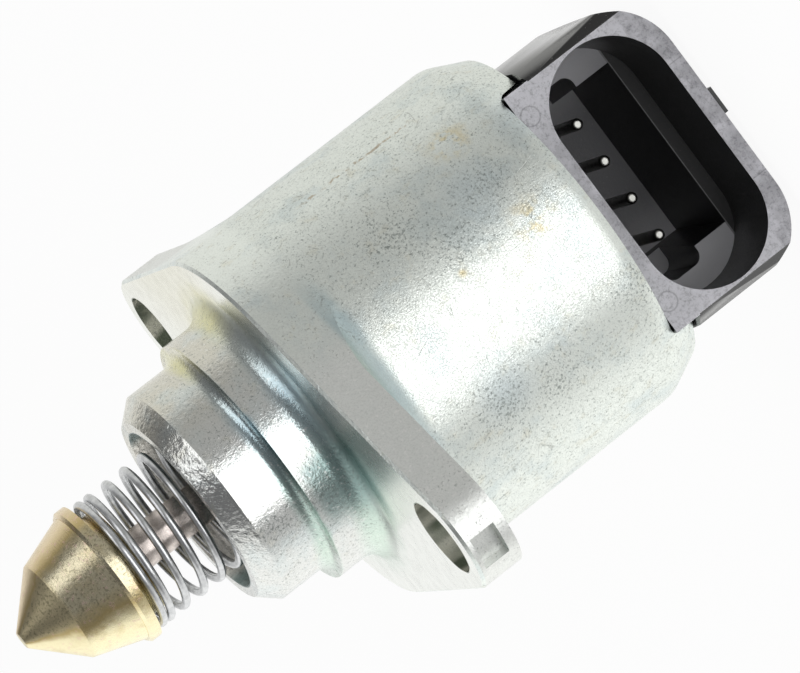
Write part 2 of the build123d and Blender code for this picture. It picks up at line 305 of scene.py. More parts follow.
@dataclass(frozen=True)
class HousingLayout:
    """Where the zones of the housing lie, in millimetres and radians, and its slow noises."""

    can_radius: float = 16.5
    can_heights: Band = (-4.2, -5.4)
    front_turns: Band = (2.9, 2.1)
    nose_heights: Band = (0.1, 1.6)
    nose_radii: Band = (14.0, 12.6)
    chamfer_heights: Band = (8.8, 9.2)
    face_slopes: Band = (0.75, 0.95)
    face_heights: Band = (-0.3, -0.1)
    face_radii: Band = (12.4, 13.6)
    edge_slopes: Band = (0.6, 0.3)
    edge_heights: Band = (-4.4, -3.75)
    edge_radii: Band = (16.5, 18.5)
    hole_places: Sequence[Point] = ((11.47, 22.22), (-11.47, -22.22))
    hole_reach: Band = (3.42, 3.34)
    bore_heights: Band = (2.8, 2.95)
    bore_radii: Band = (7.75, 7.65)
    # Painted highlight: a strip down the can, where the key light's highlight falls, keeps only this share of
    # the dark crackle and pits.
    strip_middle: float = -0.6
    strip_reach: Band = (4.6, 2.8)
    strip_speck_share: float = 0.1
    cloud: Noise = Noise(0.22, 4.0)
    patch: Noise = Noise(0.75, 4.0)


class HousingGraph(Graph):
    """Node helper that knows the coordinates, zones and slow noises of the housing."""

    def __init__(self, tree: bpy.types.NodeTree, layout: HousingLayout) -> None:
        """Makes the masks of the zones.

        Args:
            tree: Node tree of the material.
            layout: Where the zones lie.
        """
        super().__init__(tree)
        self.place = self.millimetres()
        self.x, self.y, self.z = self.split(self.place)
        self.radius = self.reach(self.x, self.y)
        self.turn = self.turn_from(self.x, self.y)
        self.around = self.times(self.turn, layout.can_radius)
        self.cloud = self.noise(self.place, layout.cloud)
        self.patch = self.noise(self.place, layout.patch)
        self.front = self.band(self.apart(self.turn), *layout.front_turns)
        self.can = self.band(self.z, *layout.can_heights)
        self.nose = self.ring(layout.nose_heights, layout.nose_radii)
        self.chamfer = self.ring(layout.chamfer_heights, layout.nose_radii)
        self.bore = self.ring(layout.bore_heights, layout.bore_radii)
        facing = self.normal()[2]
        level = self.band(facing, *layout.face_slopes)
        self.face = self.times(level, self.ring(layout.face_heights, layout.face_radii))
        upright = self.band(self.apart(facing), *layout.edge_slopes)
        self.edge = self.times(upright, self.ring(layout.edge_heights, layout.edge_radii))
        reaches = [self.reach(self.x, self.y, place) for place in layout.hole_places]
        self.hole = self.band(self.math("MINIMUM", *reaches), *layout.hole_reach)
        # Painted highlight strip, clear of most dark specks.
        highlight_strip = self.band(self.apart(self.around, layout.strip_middle), *layout.strip_reach)
        self.clean = self.scaled(highlight_strip, layout.strip_speck_share - 1.0, 1.0)

    def ring(self, heights: Band, radii: Band) -> Socket:
        """Mask of a ring round the axis."""
        return self.times(self.band(self.z, *heights), self.band(self.radius, *radii))

    def spots(self, places: Spots) -> Socket:
        """Mask of soft round patches by distance round the can, height and radius in millimetres."""
        masks = [self.band(self.reach(self.around, self.z, spot[:2]), spot[2], 0.0) for spot in places]
        return self.most(*masks)


@dataclass(frozen=True)
class Scratches:
    """Hairlines over the can, each direction with its stretch across and along, and one long scratch."""

    directions: Sequence[tuple[float, ...]] = ((0.06, 1.5, 0.10), (0.55, 0.9, 0.16), (-0.9, 0.8, 0.16),
                                               (1.35, 0.9, 0.14))
    hair: Noise = Noise(1.0, 0.0, 0.5)
    hair_slice: float = 7.0
    hair_level: float = 0.5
    hair_width: Band = (0.010, 0.003)
    gap: Noise = Noise(0.34, 2.0, 0.5)
    gap_slice: Line = (3.0, 5.0)
    gap_band: Band = (0.61, 0.70)
    long_place: float = 17.8
    long_ends: Span = ((-21.5, -19.5), (-8.9, -10.9))
    long_width: Band = (0.22, 0.06)
    waver: Noise = Noise(0.8, 3.0)
    waver_slice: float = 3.0
    waver_swing: float = 0.9
    crumble: Noise = Noise(1.6, 3.0)
    crumble_slice: float = 8.0
    crumble_band: Band = (0.44, 0.56)

    def hairlines(self, g: HousingGraph) -> Socket:
        """Fine hairlines over the can, in several directions.

        Args:
            g: Helper of the housing.

        Returns:
            The mask of the hairlines.
        """
        hairs = []
        slope, offset = self.gap_slice
        for lean, across, along in self.directions:
            u = g.scaled(g.around, math.cos(lean), g.times(g.z, math.sin(lean)))
            v = g.scaled(g.around, -math.sin(lean), g.times(g.z, math.cos(lean)))
            hair_place = g.join(g.times(u, across), lean * self.hair_slice, g.times(v, along))
            thin = g.band(g.apart(g.noise(hair_place, self.hair), self.hair_level), *self.hair_width)
            gap_place = g.join(u, lean * slope + offset, v)
            hairs.append(g.times(thin, g.band(g.noise(gap_place, self.gap), *self.gap_band)))
        return g.times(g.most(*hairs), g.can)

    def long_mark(self, g: HousingGraph) -> Socket:
        """The long brownish scratch along the can.

        Args:
            g: Helper of the housing.

        Returns:
            The mask of the scratch.
        """
        waver = g.noise(g.join(g.around, self.waver_slice, g.z), self.waver)
        off = g.apart(g.scaled(waver, self.waver_swing, g.around), self.long_place)
        crumble = g.noise(g.join(g.around, self.crumble_slice, g.z), self.crumble)
        line = g.times(g.band(off, *self.long_width), g.between(g.z, *self.long_ends))
        return g.times(line, g.band(crumble, *self.crumble_band))


@dataclass(frozen=True)
class Tint:
    """Tint of the plating over some heights, radii and angles."""

    colour: Colour
    share: float
    heights: Span
    radii: Band
    turns: Span


@dataclass(frozen=True)
class Tints:
    """Yellow, blue and green tints round the boss foot and its step, made darker there as painted shade of
    the creases, and painted dark reflections at the flange root and right of the boss's highlight.
    """

    # Plating tints by angle; their dark stops are partly painted shade of the creases.
    hues: Stops = ((0.18, (0.60, 0.74, 0.64)), (0.42, (0.27, 0.42, 0.39)), (0.60, (0.38, 0.53, 0.60)),
                   (0.78, (0.58, 0.63, 0.60)), (0.88, (0.70, 0.67, 0.34)))
    level_swing: Line = (1.2, -0.6)
    foot: Span = ((-0.4, 0.5), (2.8, 1.0))
    step: Span = ((4.1, 4.6), (6.0, 4.9))
    boss_radii: Band = (15.2, 13.2)
    boss_share: float = 0.8
    # Painted reflection: dark teal in the fillet at the flange root.
    root_reflection: Tint = Tint((0.46, 0.60, 0.64), 0.6, ((-3.7, -4.4), (-6.4, -5.2)), (18.2, 17.2),
                      ((-0.6, -0.1), (0.75, 0.35)))
    # Painted reflection: dark teal on the boss's right side, next to its highlight.
    boss_dark_reflection: Tint = Tint((0.26, 0.38, 0.37), 0.80, ((-1.2, 0.0), (4.6, 3.0)), (16.0, 14.0),
                        ((-0.06, -0.22), (-0.80, -0.50)))

    def lay(self, g: HousingGraph, base: Input) -> Socket:
        """Lays the tints, their painted shade and the painted reflections over a colour.

        Args:
            g: Helper of the housing.
            base: Colour below.

        Returns:
            The tinted colour.
        """
        level = g.math("ADD", g.z, g.scaled(g.cloud, *self.level_swing))
        # Tints at the boss foot and step: plating colour, darkened as painted shade of the creases.
        heights = g.most(g.between(level, *self.foot), g.between(level, *self.step))
        boss = g.times(g.band(g.radius, *self.boss_radii), g.front, heights, self.boss_share)
        base = g.mix(boss, base, g.ramp(g.front_share(g.turn), self.hues))
        # Painted dark reflections: at the flange root and right of the boss's highlight.
        for tint in (self.root_reflection, self.boss_dark_reflection):
            mask = g.times(g.between(level, *tint.heights), g.between(g.turn, *tint.turns))
            mask = g.times(mask, g.band(g.radius, *tint.radii), tint.share)
            base = g.mix(mask, base, tint.colour)
        return base


@dataclass(frozen=True)
class ZincPlate:
    """Bright zinc plating: satin on the can, shiny on the nose, tinted round the boss where the plating is
    thick, with painted shade, painted reflections, painted glints and a painted highlight strip.
    """

    name: str = "zinc_plate"
    layout: HousingLayout = HousingLayout()
    scratches: Scratches = Scratches()
    tints: Tints = Tints()
    can_colour: Colour = (0.85, 0.89, 0.845)
    nose_colour: Colour = (0.74, 0.75, 0.73)
    # Painted shade: warmer, darker tone on the nose's left side.
    nose_left_shade: Coat = Coat((0.70, 0.68, 0.60), 0.35, 1.0)
    cool: Coat = Coat((0.64, 0.72, 0.73), 0.48, 0.68, 0.55)
    warm: Coat = Coat((0.78, 0.75, 0.62), 0.55, 0.75, 0.40)
    bloom_colour: Colour = (0.64, 0.74, 0.79)
    bloom_share: float = 0.5
    bloom_places: Spots = ((7.9, -19.8, 4.16), (-6.5, -12.5, 3.9), (11.0, -27.0, 3.9))
    stain: Coat = Coat((0.80, 0.66, 0.34), 0.40, 0.60, 0.8)
    stain_places: Spots = ((12.6, -21.4, 2.47), (2.9, -22.2, 2.6), (3.0, -15.0, 0.52))
    face_colour: Colour = (0.96, 0.98, 0.94)
    face_warm: Coat = Coat((0.84, 0.83, 0.71), 0.6, 1.6)
    edge_colour: Colour = (0.84, 0.855, 0.83)
    # Painted glints: light specks on the flange's cut edge and on the nose.
    painted_glint: Coat = Coat((0.94, 0.94, 0.92), 0.58, 0.70)
    glint_noise: Noise = Noise(3.0, 2.0)
    nose_glints: float = 0.4
    edge_glints: float = 0.8
    hole_colour: Colour = (0.80, 0.79, 0.71)
    # Painted shade: dark streaks down the walls of the bolt holes.
    hole_painted_shade: Coat = Coat((0.16, 0.19, 0.14), 0.40, 0.62)
    streak_noise: Noise = Noise(0.55, 1.0, 0.5)
    streak_stretch: float = 0.3
    # Painted light: the bore wall is paler than the can, in place of light reaching into it; painted shade in
    # dark teal at the ends seen side-on.
    bore_painted_light: Colour = (0.95, 0.92, 0.86)
    bore_painted_shade: Coat = Coat((0.22, 0.29, 0.29), 2.25, 1.95)
    mottle: Coat = Coat((0.40, 0.42, 0.40), 0.42, 0.72, 0.20)
    crackle_and_shade: Coat = Coat((0.20, 0.23, 0.22), 0.545, 0.66, 0.72)
    crackle_noise: Noise = Noise(4.2, 5.0, 0.75)
    shade_gather: float = 0.055
    # Painted shade: crackle gathers round these places at the edges of the highlights; elsewhere it is the
    # plating's grain.
    crackle_and_shade_places: Spots = ((4.8, -16.1, 4.42), (-7.4, -11.9, 4.16), (-5.9, -25.5, 3.64),
                             (-8.9, -16.4, 3.38), (9.0, -12.5, 3.9), (7.5, -21.0, 3.38),
                             (-7.0, 7.4, 3.64), (3.5, 2.2, 2.86), (-6.6, 2.6, 4.42))
    pit_colour: Colour = (0.26, 0.27, 0.25)
    pit: Noise = Noise(4.6, 2.0)
    pit_patches: Band = (0.35, 0.65)
    pit_gather: Line = (0.10, -0.05)
    pit_band: Band = (0.61, 0.69)
    pit_share: Line = (-0.10, 0.40)
    face_pits: float = 0.2
    hair_share: float = 0.40
    long_colour: Colour = (0.40, 0.31, 0.20)
    long_share: float = 0.7
    can_roughness: float = 0.31
    nose_roughness: float = 0.19
    face_roughening: float = -0.08
    edge_roughening: float = 0.12
    patch_roughening: float = 0.05
    patch_band: Band = (0.3, 0.7)
    bore_roughening: float = 0.18
    grit_roughening: float = 0.20
    grit_band: Band = (0.46, 0.54)
    pit_roughening: float = 0.12
    grain: Noise = Noise(6.5, 2.0)
    grain_height: float = 0.55
    grit: Noise = Noise(8.5, 1.0, 0.5)
    grit_height: float = 0.35
    pebble: Noise = Noise(2.8, 2.0, 0.55)
    pebble_height: Line = (-0.55, 0.8)
    hammer: Noise = Noise(1.7, 2.0, 0.55)
    hammer_height: float = 2.6
    hair_height: float = -0.3
    nose_smoothing: float = -0.15
    face_smoothing: float = -0.7
    bore_taper: float = -7.0
    bump: Bump = (0.7, 0.00005)

    def build(self) -> Material:
        """Makes the material.

        Returns:
            The material.
        """
        material, _ = new_material(self.name)
        g = HousingGraph(material.node_tree, self.layout)
        grain = g.noise(g.place, self.grain)
        grit = g.noise(g.place, self.grit)
        hairs = self.scratches.hairlines(g)
        pits = self.pits(g)
        base = self.cut_places(g, self.plating(g))
        base = g.coat(base, self.mottle, grain, g.scaled(g.face, -1.0, 1.0))
        base = self.wear(g, base, pits, hairs)
        rough = self.roughness(g, grit, pits)
        normal = self.relief(g, grain, grit, hairs)
        g.close_surface({"Base Color": base, "Metallic": 1.0, "Roughness": rough, "Normal": normal})
        return material

    def plating(self, g: HousingGraph) -> Socket:
        """Colour of the plating by zone, with its clouds, blooms, stains and tints, and painted shade on the
        nose's left side and among the tints.

        Args:
            g: Helper of the housing.

        Returns:
            The colour.
        """
        base = g.mix(g.nose, self.can_colour, self.nose_colour)
        # Painted shade on the nose's left side.
        base = g.coat(base, self.nose_left_shade, g.turn, g.nose, g.front)
        base = g.coat(base, self.cool, g.cloud)
        base = g.coat(base, self.warm, g.patch)
        bloom = g.times(g.spots(self.bloom_places), g.can, self.bloom_share)
        base = g.mix(bloom, base, self.bloom_colour)
        base = g.coat(base, self.stain, g.patch, g.spots(self.stain_places), g.can)
        base = g.mix(g.face, base, g.coat(self.face_colour, self.face_warm, g.turn, g.front))
        return self.tints.lay(g, base)

    def cut_places(self, g: HousingGraph, base: Input) -> Socket:
        """Adds the cut edge of the flange, the painted glints, the walls of the holes with painted shade
        streaks, and the bore with painted light and painted shade at its ends.

        Args:
            g: Helper of the housing.
            base: Colour below.

        Returns:
            The colour.
        """
        base = g.mix(g.edge, base, self.edge_colour)
        # Painted glints on the nose and the flange's cut edge.
        glint_mask = g.scaled(g.nose, self.nose_glints, g.times(g.edge, self.edge_glints))
        base = g.coat(base, self.painted_glint, g.noise(g.place, self.glint_noise), glint_mask)
        # Painted shade in streaks on the hole walls.
        streak_place = g.join(g.x, g.y, g.times(g.z, self.streak_stretch))
        streaks = g.noise(streak_place, self.streak_noise)
        base = g.mix(g.hole, base, g.coat(self.hole_colour, self.hole_painted_shade, streaks))
        # Bore wall: painted light, with painted shade towards its ends.
        wall = g.coat(self.bore_painted_light, self.bore_painted_shade, g.apart(g.turn))
        return g.mix(g.bore, base, wall)

    def wear(self, g: HousingGraph, base: Input, pits: Input, hairs: Input) -> Socket:
        """Adds the dark crackle, which is painted shade where it gathers at the edges of the highlights, the
        pits and the scratches; the crackle is thinned in the painted highlight strip.

        Args:
            g: Helper of the housing.
            base: Colour below.
            pits: Mask of the pits.
            hairs: Mask of the hairlines.

        Returns:
            The colour.
        """
        # Dark crackle: grain of the plating, plus painted shade gathered at the highlights' edges.
        rugged = g.noise(g.place, self.crackle_noise)
        crackle_and_shade = g.scaled(g.spots(self.crackle_and_shade_places), self.shade_gather, rugged)
        base = g.coat(base, self.crackle_and_shade, crackle_and_shade, g.clean, g.most(g.can, g.nose))
        base = g.mix(g.times(pits, g.scaled(g.can, *self.pit_share)), base, self.pit_colour)
        base = g.mix(g.times(hairs, self.hair_share), base, self.pit_colour)
        long_mark = g.times(self.scratches.long_mark(g), self.long_share)
        return g.mix(long_mark, base, self.long_colour)

    def pits(self, g: HousingGraph) -> Socket:
        """Small dark pits, closer together in some patches, few on the flange's face and few in the painted
        highlight strip.

        Args:
            g: Helper of the housing.

        Returns:
            The mask of the pits.
        """
        gathered = g.scaled(g.band(g.patch, *self.pit_patches), *self.pit_gather)
        pits = g.band(g.math("ADD", g.noise(g.place, self.pit), gathered), *self.pit_band)
        # Fewer pits in the painted highlight strip.
        return g.times(pits, g.scaled(g.face, self.face_pits - 1.0, 1.0), g.clean)

    def roughness(self, g: HousingGraph, grit: Input, pits: Input) -> Socket:
        """Roughness by zone.

        Args:
            g: Helper of the housing.
            grit: Finest noise.
            pits: Mask of the pits.

        Returns:
            The roughness.
        """
        gritty = g.times(g.band(grit, *self.grit_band), g.can)
        patches = g.band(g.patch, *self.patch_band)
        rough = g.scaled(g.nose, self.nose_roughness - self.can_roughness, self.can_roughness)
        rough = g.scaled(g.face, self.face_roughening, rough)
        rough = g.scaled(g.edge, self.edge_roughening, rough)
        rough = g.scaled(patches, self.patch_roughening, rough)
        rough = g.scaled(g.bore, self.bore_roughening, rough)
        rough = g.scaled(gritty, self.grit_roughening, rough)
        return g.math("MULTIPLY_ADD", pits, self.pit_roughening, rough, clamp=True)

    def relief(self, g: HousingGraph, grain: Input, grit: Input, hairs: Input) -> Socket:
        """Fine relief: pebbles, grain, hammered chamfer, hairlines and the taper of the bore.

        Args:
            g: Helper of the housing.
            grain: Fine noise.
            grit: Finest noise.
            hairs: Mask of the hairlines.

        Returns:
            The bent normal.
        """
        pebbles = g.times(g.noise(g.place, self.pebble), g.scaled(g.can, *self.pebble_height))
        hammer = g.times(g.noise(g.place, self.hammer), g.chamfer, self.hammer_height)
        height = g.scaled(grain, self.grain_height, pebbles)
        height = g.scaled(g.times(grit, g.can), self.grit_height, height)
        height = g.math("ADD", g.scaled(hairs, self.hair_height, height), hammer)
        height = g.times(height, g.scaled(g.nose, self.nose_smoothing, 1.0))
        height = g.times(height, g.scaled(g.face, self.face_smoothing, 1.0))
        height = g.scaled(g.times(g.bore, g.z), self.bore_taper, height)
        return g.bump(height, *self.bump)


@dataclass(frozen=True)
class GoldChromate:
    """Yellow chromate finish of the valve cone, with brown and pink patches and a worn front; brown bands
    beside the worn front and the olive middle of the tip are painted dark reflections.
    """

    name: str = "gold_chromate"
    gold: Colour = (0.91, 0.83, 0.55)
    beige: Colour = (0.82, 0.68, 0.46)
    worn: Colour = (0.66, 0.60, 0.43)
    brown: Colour = (0.56, 0.44, 0.21)
    # Painted dark reflections: the brown stops either side of the worn front.
    hues: Stops = ((0.20, gold), (0.30, gold), (0.365, brown), (0.47, worn), (0.71, worn), (0.80, brown),
                   (0.90, beige))
    wander: Line = (0.5, -0.25)
    back: Coat = Coat(gold, 1.7, 2.6)
    worn_middle: float = 0.25
    worn_reach: Band = (0.70, 0.45)
    brown_clouds: Coat = Coat(brown, 0.48, 0.75, 0.45)
    pink_patches: Coat = Coat((0.86, 0.56, 0.54), 0.56, 0.72, 0.40)
    # Painted reflection: olive darkening over the middle of the tip.
    tip_dark_reflection: Colour = (0.60, 0.52, 0.32)
    olive_share: float = 0.8
    tip_heights: Band = (23.4, 23.9)
    fleck: Coat = Coat((0.24, 0.22, 0.14), 0.50, 0.62)
    fleck_share: Line = (0.64, 0.06)
    cloud: Noise = Noise(0.45, 4.0)
    mottle: Noise = Noise(2.2, 3.0)
    fine: Noise = Noise(4.5, 5.0, 0.75)
    ring: Noise = Noise(1.0, 3.0, 0.7)
    ring_density: float = 9.0
    tip_roughness: Line = (0.10, 0.13)
    mottle_roughening: float = 0.22
    mottle_height: float = 0.6
    ring_height: float = 0.5
    fine_height: float = 0.5
    bump: Bump = (0.45, 0.00004)

    def build(self) -> Material:
        """Makes the material.

        Returns:
            The material.
        """
        material, g = new_material(self.name)
        place = g.millimetres()
        x, y, z = g.split(place)
        turn = g.turn_from(x, y)
        cloud = g.noise(place, self.cloud)
        mottle = g.noise(place, self.mottle)
        fine = g.noise(place, self.fine)
        rings = g.noise(g.join(0.0, 0.0, g.times(z, self.ring_density)), self.ring)
        tip = g.band(z, *self.tip_heights)
        wander = g.math("ADD", turn, g.scaled(cloud, *self.wander))
        worn = g.band(g.apart(wander, self.worn_middle), *self.worn_reach)
        base = g.ramp(g.front_share(wander), self.hues)
        base = g.coat(base, self.back, g.apart(turn))
        base = g.coat(base, self.brown_clouds, cloud)
        base = g.coat(base, self.pink_patches, mottle)
        # Painted dark reflection on the tip's middle.
        base = g.mix(g.times(tip, worn, self.olive_share), base, self.tip_dark_reflection)
        base = g.coat(base, self.fleck, fine, g.scaled(worn, *self.fleck_share))
        rough = g.scaled(mottle, self.mottle_roughening, g.scaled(tip, *self.tip_roughness))
        height = g.scaled(mottle, self.mottle_height, g.times(rings, self.ring_height))
        normal = g.bump(g.scaled(fine, self.fine_height, height), *self.bump)
        g.close_surface({"Base Color": base, "Metallic": 1.0, "Roughness": rough, "Normal": normal})
        return material


@dataclass(frozen=True)
class PlainFinish:
    """Finish with soft clouds of a second colour and a fine grain."""

    name: str
    colour: Colour
    cloud_colour: Colour
    roughness: float
    metallic: float
    cloud: Noise
    cloud_band: Band
    cloud_share: float
    grain: Noise
    bump: Bump
    grain_roughening: float = 0.14

    def build(self) -> Material:
        """Makes the material.

        Returns:
            The material.
        """
        material, g = new_material(self.name)
        place = g.millimetres()
        grain = g.noise(place, self.grain)
        clouds = Coat(self.cloud_colour, *self.cloud_band, self.cloud_share)
        base = g.coat(self.colour, clouds, g.noise(place, self.cloud))
        rough = g.scaled(grain, self.grain_roughening, self.roughness)
        normal = g.bump(grain, *self.bump)
        inputs = {"Base Color": base, "Metallic": self.metallic, "Roughness": rough, "Normal": normal}
        g.close_surface(inputs)
        return material


@dataclass(frozen=True)
class BareMetal(PlainFinish):
    """Bare or lightly oiled metal."""

    roughness: float = 0.20
    metallic: float = 1.0
    cloud: Noise = Noise(1.5, 5.0)
    cloud_band: Band = (0.35, 0.7)
    cloud_share: float = 1.0
    grain: Noise = Noise(12.0, 3.0)
    bump: Bump = (0.15, 0.00003)


@dataclass(frozen=True)
class Moulded(PlainFinish):
    """Moulded plastic or rubber."""

    roughness: float = 0.38
    metallic: float = 0.0
    cloud: Noise = Noise(0.6, 5.0)
    cloud_band: Band = (0.45, 0.75)
    cloud_share: float = 0.6
    grain: Noise = Noise(7.0, 3.0)
    bump: Bump = (0.25, 0.00004)


@dataclass(frozen=True)
class ConnectorPlastic:
    """Black moulded plastic with a grey painted sheen on the faces that look out of the socket, painted light
    on the socket floor and a painted highlight along the well's rear edge.
    """

    name: str = "black_plastic"
    black: Colour = (0.012, 0.012, 0.013)
    facing_slopes: Band = (-0.6, -0.95)
    side_reach: Band = (11.3, 11.5)
    # Painted light: the socket floor's faces that look out are grey, not black, and lighter towards its ends
    # as a painted reflection; the rear ledge stays black.
    floor: Colour = (0.12, 0.12, 0.13)
    lit_floor_heights: Band = (-38.3, -38.15)
    floor_end_reflection: Coat = Coat((0.62, 0.62, 0.65), 3.5, 10.0)
    floor_middle: float = 0.8
    # Painted highlight: a thin light line along the well's rear edge.
    lip_highlight: Coat = Coat((0.26, 0.26, 0.27), 0.10, 0.04)
    lip_height: float = -38.2
    # Painted sheen: grey colour on the rim that stands in for the key light's reflection.
    painted_sheen: Colour = (0.52, 0.515, 0.55)
    sheen_clouds: Band = (0.35, 0.7)
    sheen_share: Line = (0.35, 0.65)
    sheen_metal: float = 0.30
    rim_levels: Band = (-11.5, -11.8)
    mark: Colour = (0.08, 0.08, 0.085)
    mark_share: float = 0.35
    circle_radius: float = 0.8
    circle_width: Band = (0.10, 0.03)
    circle_places: Sequence[Point] = ((9.1, -27.9), (-9.1, -27.9))
    line_offset: float = 5.6
    line_width: Band = (0.07, 0.03)
    line_heights: Band = (-38.9, -39.1)
    dust: Coat = Coat((0.40, 0.40, 0.38), 0.64, 0.71)
    dust_share: Line = (0.3, 0.2)
    pores: Coat = Coat(black, 0.46, 0.68, 0.45)
    pore: Noise = Noise(3.2, 6.0, 0.8)
    cloud: Noise = Noise(0.5, 5.0)
    grain: Noise = Noise(4.5, 4.0, 0.62)
    grain_roughening: float = 0.25
    side_roughness: Line = (-0.24, 0.24)
    side_smoothing: float = -0.8
    bump: Bump = (0.35, 0.00004)
    slant_slopes: Band = (-0.30, -0.42)
    slant_shine: Line = (-0.82, 0.5)
    side_shine: float = 0.4

    def build(self) -> Material:
        """Makes the material.

        Returns:
            The material.
        """
        material, g = new_material(self.name)
        place = g.millimetres()
        x, y, z = g.split(place)
        grain = g.noise(place, self.grain)
        outward = g.normal()[1]
        facing = g.band(outward, *self.facing_slopes)
        side = g.band(g.apart(x), *self.side_reach)
        # Painted light on the floor faces that look out, lighter towards the ends as a painted reflection.
        floor = g.times(facing, g.band(z, *self.lit_floor_heights))
        lit_floor_colour = g.coat(self.floor, self.floor_end_reflection, g.apart(x, self.floor_middle))
        base = g.mix(floor, self.black, lit_floor_colour)
        # Painted highlight along the well's rear edge.
        base = g.coat(base, self.lip_highlight, g.apart(z, self.lip_height), facing)
        # Painted sheen on the rim, in soft clouds; the same mask also gives the rim some metallic gloss.
        rim = g.times(facing, g.band(y, *self.rim_levels))
        clouds = g.band(g.noise(place, self.cloud), *self.sheen_clouds)
        painted_sheen = g.times(rim, g.scaled(clouds, *self.sheen_share))
        base = g.mix(painted_sheen, base, self.painted_sheen)
        base = g.mix(g.times(rim, self.marks(g, x, z), self.mark_share), base, self.mark)
        base = g.coat(base, self.dust, grain, g.scaled(side, *self.dust_share))
        base = g.coat(base, self.pores, g.noise(place, self.pore), rim)
        rough = g.scaled(grain, self.grain_roughening, g.scaled(side, *self.side_roughness))
        normal = g.bump(g.times(grain, g.scaled(side, self.side_smoothing, 1.0)), *self.bump)
        slant = g.times(side, g.band(outward, *self.slant_slopes))
        shine = g.scaled(side, self.side_shine, g.scaled(slant, *self.slant_shine))
        metal = g.times(painted_sheen, self.sheen_metal)
        g.close_surface({"Base Color": base, "Metallic": metal, "Roughness": rough, "Normal": normal,
                         "Specular IOR Level": shine})
        return material

    def marks(self, g: Graph, x: Input, z: Input) -> Socket:
        """Ejector circles and parting lines on the rim.

        Args:
            g: Node helper of the material.
            x: First coordinate in millimetres.
            z: Height in millimetres.

        Returns:
            The mask of the marks.
        """
        off = g.apart(g.apart(x), self.line_offset)
        total = g.times(g.band(off, *self.line_width), g.band(z, *self.line_heights))
        for place in self.circle_places:
            off = g.apart(g.reach(x, z, place), self.circle_radius)
            total = g.most(total, g.band(off, *self.circle_width))
        return total


def new_object(name: str, data: bpy.types.ID) -> Piece:
    """Adds an object to the scene.

    Args:
        name: Name of the object.
        data: Its mesh, curve, light or camera.

    Returns:
        The object.
    """
    piece = bpy.data.objects.new(name, data)
    bpy.context.scene.collection.objects.link(piece)
    return piece


def smooth_copy(node: str, name: str, body: Body, sharp: float) -> Piece:
    """Stands a smooth-shaded copy of a CAD node in its place.

    Args:
        node: Name of the CAD node.
        name: Name of the new piece.
        body: Body that carries it.
        sharp: Angle in degrees above which an edge stays sharp.

    Returns:
        The new piece.
    """
    same_point = 0.004 * MM
    limit = math.radians(sharp)
    mesh = frame["nodes"][node].data.copy()
    mesh.name = name
    work = bmesh.new()
    work.from_mesh(mesh)
    bmesh.ops.remove_doubles(work, verts=work.verts, dist=same_point)
    for face in work.faces:
        face.smooth = True
    for edge in work.edges:
        edge.smooth = len(edge.link_faces) == 2 and edge.calc_face_angle(0.0) < limit
    work.to_mesh(mesh)
    work.free()
    mesh.materials.clear()
    piece = new_object(name, mesh)
    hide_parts(node)
    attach(piece, body.value)
    return piece


def dress(piece: Piece, material: Material) -> None:
    """Gives a piece its finish.

    Args:
        piece: Piece or CAD object.
        material: Finish.
    """
    piece.data.materials.clear()
    piece.data.materials.append(material)
    LOG.info("%s: %s, %d faces", piece.name, material.name, len(piece.data.polygons))


